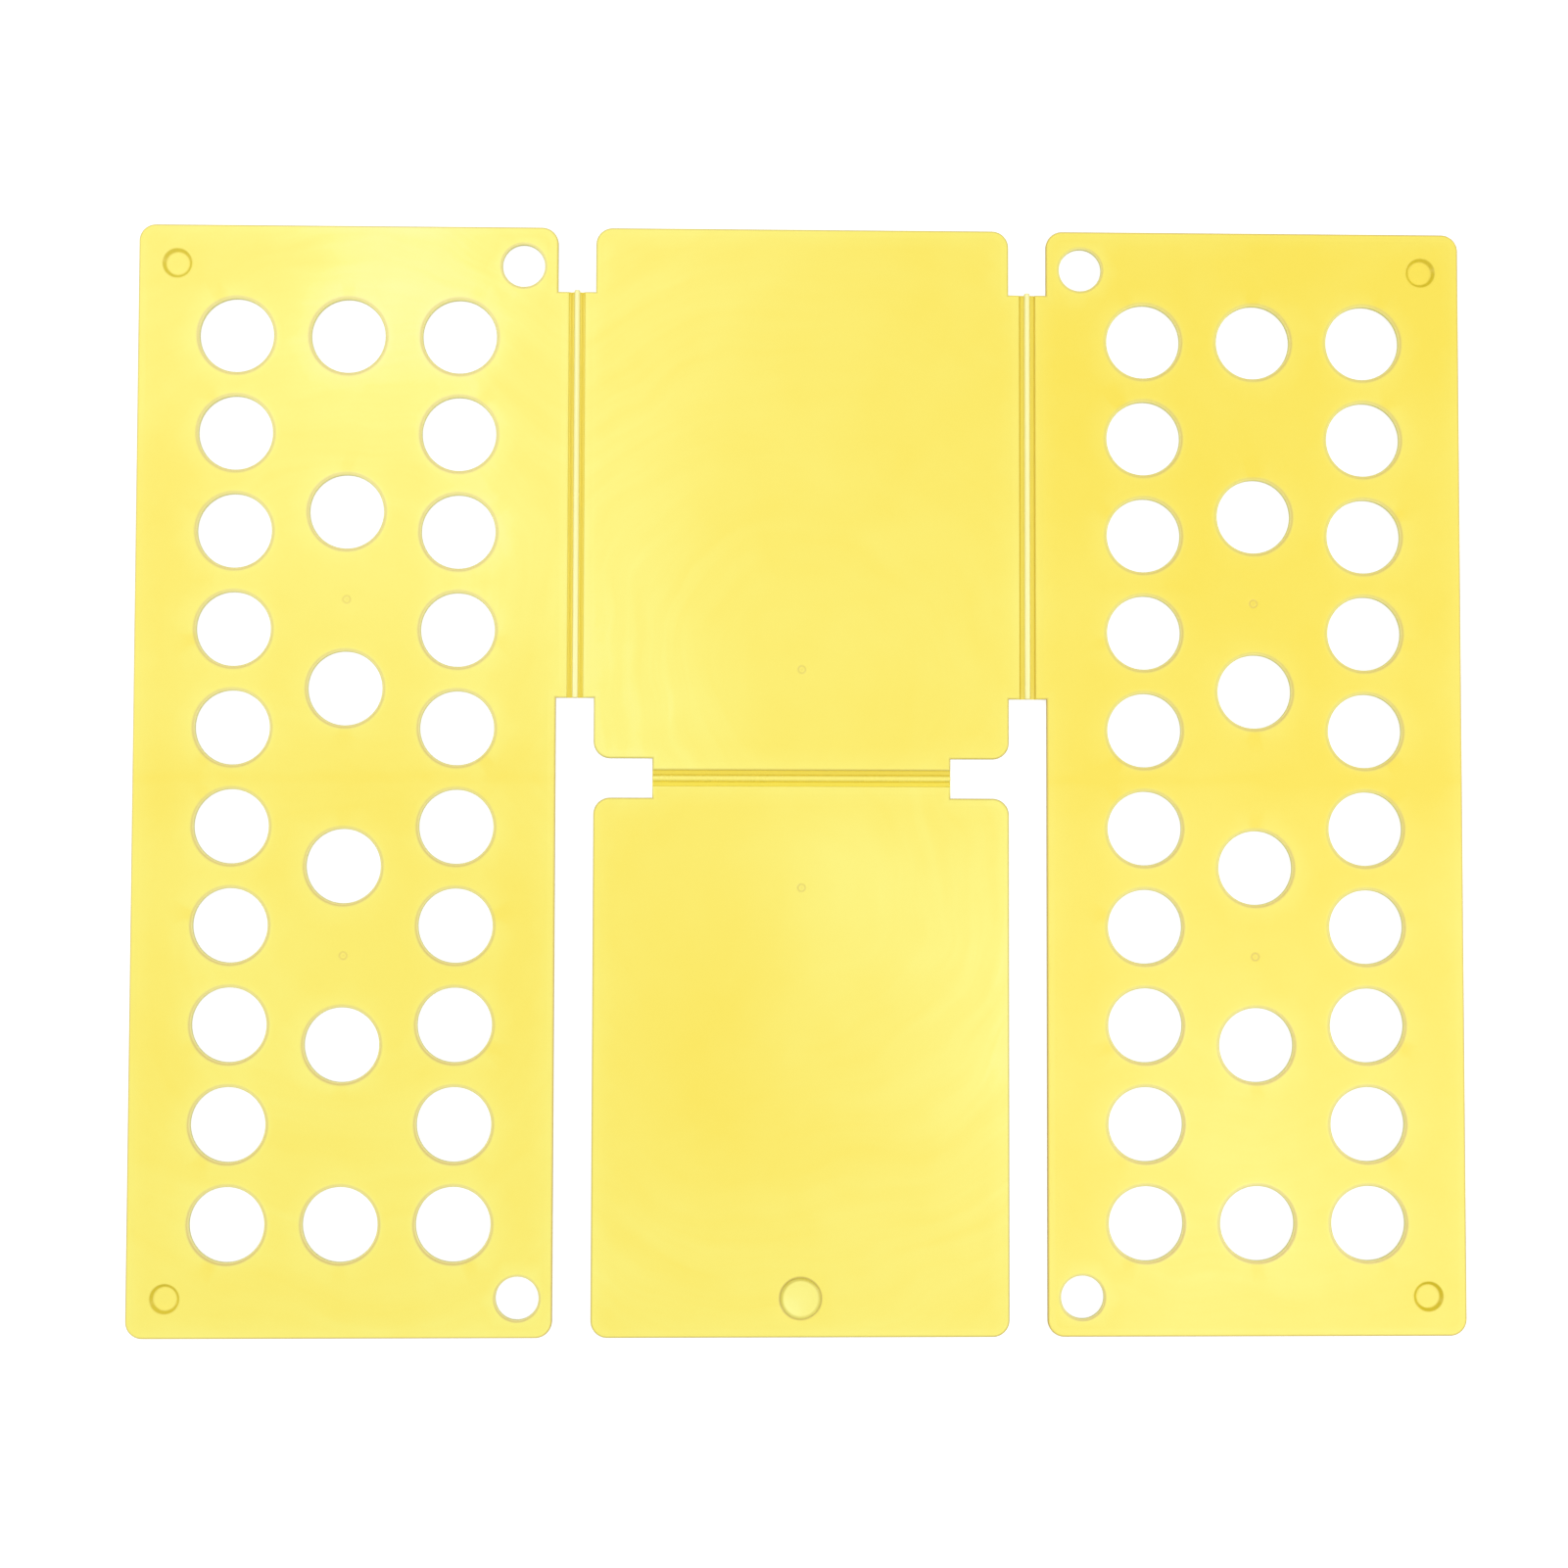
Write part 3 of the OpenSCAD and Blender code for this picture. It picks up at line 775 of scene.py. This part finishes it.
def plastic(name, golden, lemon, deep, rough, grain, wave, rings=0.0, weld=False, sheen=0.0,
            gate=None):
    """Moulded polypropylene.
    golden, lemon: ends of its colour range. deep: tone of the walls, the deeper colour of thick
    plastic with painted shade laid into it.
    grain, wave: bump distances in metres. sheen: coat weight.
    gate: where the melt came in, in millimetres, mirrored to all four quarters.
    rings: strength of the flow marks round it. weld: a line across the middle, on y = 0."""
    mat = bpy.data.materials.new(name)
    g = Graph(mat)
    bsdf = g.node("ShaderNodeBsdfPrincipled", {
        "IOR": 1.49, "Specular IOR Level": 0.5, "Coat Weight": sheen, "Coat Roughness": 0.18})
    g.node("ShaderNodeOutputMaterial", {0: bsdf.outputs[0]})
    place = g.node("ShaderNodeTexCoord", {}).outputs["Object"]
    xyz = g.node("ShaderNodeSeparateXYZ", {0: place}).outputs

    def surface_noise(scale, stretch=(1, 1, 1), **settings):
        mapping = g.node("ShaderNodeMapping", {"Vector": place, "Scale": stretch})
        return g.noise(mapping.outputs[0], scale, **settings)

    wall, halo_and_painted_glow, tone = [g.attribute(key) for key in ("wall", "halo_and_painted_glow", "tone")]

    # colour: slow drift of the pigment, flow marks, a flow halo round the holes with painted glow
    # on their lips and on one hinge edge, fine flecks
    drift = surface_noise(11.0, detail=3.0, roughness=0.55, distortion=0.4)
    cloud = surface_noise(38.0, distortion=0.8)
    fleck = surface_noise(900.0, roughness=0.6)
    field = g.math("ADD", tone, 0.30)
    field = g.sway(drift, 0.75, field)
    field = g.sway(cloud, 0.18, field)
    if gate:
        field = flow_marks(g, field, tone, xyz["X"], xyz["Y"], gate, rings, surface_noise)
    field = g.math("MULTIPLY_ADD", halo_and_painted_glow, 0.34, field)
    field = g.sway(fleck, 0.10, field)
    if weld:
        # the line where two melt fronts met, across the middle of each wing
        wobble = g.sway(surface_noise(40.0, stretch=(1, 0, 0)), 0.006, xyz["Y"])
        weld_line = g.bell(wobble, 0.0022)
        field = g.math("MULTIPLY_ADD", weld_line, -0.10, field)
        field = g.math("MULTIPLY_ADD", g.bell(wobble, 0.016), -0.14, field)
    colour = g.mix(g.math("ADD", field, 0.0, clamp=True), golden, lemon)
    if gate:
        # palest where the field runs over the top of the range, as on the painted glow of the lips
        over = g.math("MULTIPLY", g.math("SUBTRACT", field, 0.95), 1.3, clamp=True)
        colour = g.mix(over, colour, (0.935, 0.900, 0.340))
    # painted shade: walls and rounds take the deep colour by their wall share
    colour = g.mix(g.math("MULTIPLY", wall, 0.85, clamp=True), colour, deep)
    # painted shade on the well walls, in a dark amber
    if gate:
        cup_shade = g.math("MULTIPLY", g.attribute("cup_shade"), 0.95, clamp=True)
        colour = g.mix(cup_shade, colour, (0.68, 0.53, 0.014))
    g.tree.links.new(colour, bsdf.inputs["Base Color"])

    # surface: fine moulded grain over slow waves
    grain_noise = surface_noise(1500.0, detail=3.0, roughness=0.6)
    wave_noise = surface_noise(24.0, roughness=0.45, distortion=0.6)
    long_waves = surface_noise(16.0, stretch=(1.4, 0.8, 1.0), distortion=0.3)
    waves = g.math("MULTIPLY_ADD", long_waves, 0.5, wave_noise)
    if weld:
        waves = g.math("MULTIPLY_ADD", weld_line, -0.035, waves)
    normal = g.bump(wave, waves, Normal=g.bump(grain, grain_noise))
    g.tree.links.new(normal, bsdf.inputs["Normal"])

    # gloss: semi-matt faces, a little more polish on worn lips, faint rubbed cloudiness
    rub = surface_noise(60.0, detail=4.0, roughness=0.65, distortion=1.2)
    gloss = g.sway(rub, 0.16, rough)
    gloss = g.math("MULTIPLY_ADD", wall, -0.06, gloss)
    gloss = g.math("MULTIPLY_ADD", fleck, 0.05, gloss, clamp=True)
    g.tree.links.new(gloss, bsdf.inputs["Roughness"])
    return mat


SHEET = dict(golden=(0.905, 0.730, 0.073), lemon=(0.925, 0.860, 0.200),
             rough=0.32, grain=0.000018, wave=0.00030)
PLASTICS = {
    "panel": dict(SHEET, deep=(0.56, 0.435, 0.100), rings=0.9, gate=(0.0, PANEL_GATE_Y)),
    "wing": dict(SHEET, deep=(0.60, 0.418, 0.115), rings=0.7, gate=(GATE_X, GATE_Y), weld=True),
    # side bars: paler and creamier than the middle bar, a painted highlight along them
    "bar": dict(golden=(0.955, 0.895, 0.36), lemon=(0.97, 0.94, 0.48), deep=(0.80, 0.66, 0.16),
                rough=0.22, grain=0.000006, wave=0.00005, sheen=0.3),
    "middle_bar": dict(golden=(0.93, 0.80, 0.13), lemon=(0.95, 0.87, 0.20),
                       deep=(0.80, 0.64, 0.12),
                       rough=0.24, grain=0.000006, wave=0.00005, sheen=0.25),
    # webs: darker than the sheets, painted shade in the grooves
    "web": dict(golden=(0.82, 0.655, 0.062), lemon=(0.87, 0.73, 0.088), deep=(0.60, 0.45, 0.04),
                rough=0.30, grain=0.000008, wave=0.00006),
    # the upper middle web is a darker copy, painted shade under the upper panel's edge; the lower
    # one is the lighter copy
    "upper_web": dict(golden=(0.78, 0.62, 0.044), lemon=(0.83, 0.68, 0.065),
                      deep=(0.50, 0.38, 0.04), rough=0.34, grain=0.000008, wave=0.00006),
    "lower_web": dict(golden=(0.82, 0.67, 0.045), lemon=(0.86, 0.73, 0.07),
                      deep=(0.60, 0.45, 0.04), rough=0.34, grain=0.000008, wave=0.00006),
    "peg": dict(golden=(0.95, 0.86, 0.13), lemon=(0.96, 0.91, 0.22), deep=(0.66, 0.51, 0.018),
                rough=0.30, grain=0.000012, wave=0.0001),
    "disc": dict(golden=(0.91, 0.78, 0.11), lemon=(0.93, 0.88, 0.25), deep=(0.57, 0.47, 0.030),
                 rough=0.30, grain=0.000012, wave=0.0001),
}
materials = {key: plastic(f"{key}_polypropylene", **spec) for key, spec in PLASTICS.items()}

for node_name, piece in frame["nodes"].items():
    kind = node_name.split("_")[-1]
    piece.data.materials.clear()
    piece.data.materials.append(materials[kind if kind in ("web", "bar") else "panel"])


# ---------------------------------------------------------------- what rides on what
# object, material, body it rides on, frame node it replaces
PARTS = [
    (upper, "panel", "upper_panel", "upper_panel"),
    (lower, "panel", "lower_panel", "lower_panel"),
    (left, "wing", "left_wing", "left_wing"),
    (right, "wing", "right_wing", "right_wing"),
    (left_bar, "bar", "left_bar", "left_hinge_bar"),
    (right_bar, "bar", "right_bar", "right_hinge_bar"),
    (middle_bar, "middle_bar", "middle_bar", "middle_hinge_bar"),
    (left_pegs, "peg", "left_wing", "left_wing_pegs"),
    (right_pegs, "peg", "right_wing", "right_wing_pegs"),
    (disc, "disc", "lower_panel", "thumb_disc"),
]
for ob, material, body, node_name in PARTS:
    ob.data.materials.append(materials[material])
    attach(ob, body)
    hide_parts(node_name)

# each web takes its material, stays where it was built, and replaces its frame node
for ob, (hinge, part, joint, before, after, reach_before, reach_after) in zip(webs, WEBS):
    ob.data.materials.append(materials[f"{part}_web" if hinge == "middle" else "web"])
    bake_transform(ob)
    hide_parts(f"{hinge}_{part}_web")


# ---------------------------------------------------------------- floor, world, lights (metres)
def floor():
    """White floor that glows more for the camera than for the board."""
    me = bpy.data.meshes.new("floor")
    half, z = 8.0, -0.0002
    me.from_pydata([(-half, -half, z), (half, -half, z), (half, half, z), (-half, half, z)],
                   [], [(0, 1, 2, 3)])
    ob = bpy.data.objects.new("floor", me)
    bpy.context.scene.collection.objects.link(ob)
    mat = bpy.data.materials.new("floor_white")
    g = Graph(mat)
    camera_ray = g.node("ShaderNodeLightPath", {}).outputs["Is Camera Ray"]
    glow = g.math("MULTIPLY_ADD", camera_ray, 0.62, 0.18)
    diffuse = g.node("ShaderNodeBsdfDiffuse", {0: (0.40, 0.40, 0.40, 1)})
    emission = g.node("ShaderNodeEmission", {0: (1, 1, 1, 1), 1: glow})
    both = g.node("ShaderNodeAddShader", {0: diffuse.outputs[0], 1: emission.outputs[0]})
    g.node("ShaderNodeOutputMaterial", {0: both.outputs[0]})
    me.materials.append(mat)


def studio_world():
    """Grey to white dome, brightest overhead; plain white to the camera."""
    world = bpy.data.worlds.new("studio")
    bpy.context.scene.world = world
    g = Graph(world)
    direction = g.node("ShaderNodeTexCoord", {}).outputs["Generated"]
    height = g.node("ShaderNodeSeparateXYZ", {0: direction}).outputs["Z"]
    ramp = g.node("ShaderNodeValToRGB", {0: height})
    ramp.color_ramp.interpolation = "EASE"
    low, high = ramp.color_ramp.elements
    low.position, low.color = 0.05, (0.38, 0.38, 0.385, 1)
    high.position, high.color = 0.75, (1.0, 1.0, 1.0, 1)
    dome = g.node("ShaderNodeBackground", {0: ramp.outputs[0], 1: 0.803})
    backdrop = g.node("ShaderNodeBackground", {0: (1, 1, 1, 1), 1: 1.0})
    camera_ray = g.node("ShaderNodeLightPath", {}).outputs["Is Camera Ray"]
    mixed = g.node("ShaderNodeMixShader",
                   {0: camera_ray, 1: dome.outputs[0], 2: backdrop.outputs[0]})
    g.node("ShaderNodeOutputWorld", {0: mixed.outputs[0]})


def softbox(name, place, target, size, power, colour=(1, 1, 1)):
    light = bpy.data.lights.new(name, "AREA")
    light.shape = "RECTANGLE"
    light.size, light.size_y = size
    light.energy = power
    light.color = colour
    ob = bpy.data.objects.new(name, light)
    bpy.context.scene.collection.objects.link(ob)
    ob.location = place
    ob.rotation_mode = "QUATERNION"
    ob.rotation_quaternion = (Vector(target) - Vector(place)).to_track_quat("-Z", "Y")
    ob.visible_camera = False


def camera():
    data = bpy.data.cameras.new("camera")
    data.sensor_width = 36.0
    data.sensor_fit = "HORIZONTAL"
    data.lens = 44.3926546
    data.clip_start, data.clip_end = 0.01, 50.0
    ob = bpy.data.objects.new("camera", data)
    bpy.context.scene.collection.objects.link(ob)
    ob.location = (-0.02001, -0.02475, 0.700)
    ob.rotation_mode = "XYZ"
    ob.rotation_euler = (0.032566, -0.019673, 0.002417)
    bpy.context.scene.camera = ob


floor()
studio_world()
softbox("key_softbox", place=(-0.44, 0.63, 1.50), target=(-0.15, 0.18, 0.0),
        size=(0.60, 0.60), power=3.0, colour=(1.0, 0.995, 0.97))
softbox("fill_softbox", place=(0.56, -0.34, 1.40), target=(0.16, -0.12, 0.0),
        size=(0.50, 0.60), power=2.8, colour=(1.0, 0.995, 0.98))
for name, x in (("left_softbox", -1.5), ("right_softbox", 1.5)):
    softbox(name, place=(x, 0.1, 0.95), target=(0, 0, 0), size=(0.5, 1.4), power=5.4)
camera()

view = bpy.context.scene.view_settings
view.view_transform = "Standard"
view.look = "None"
view.exposure = 0.0
view.gamma = 1.0
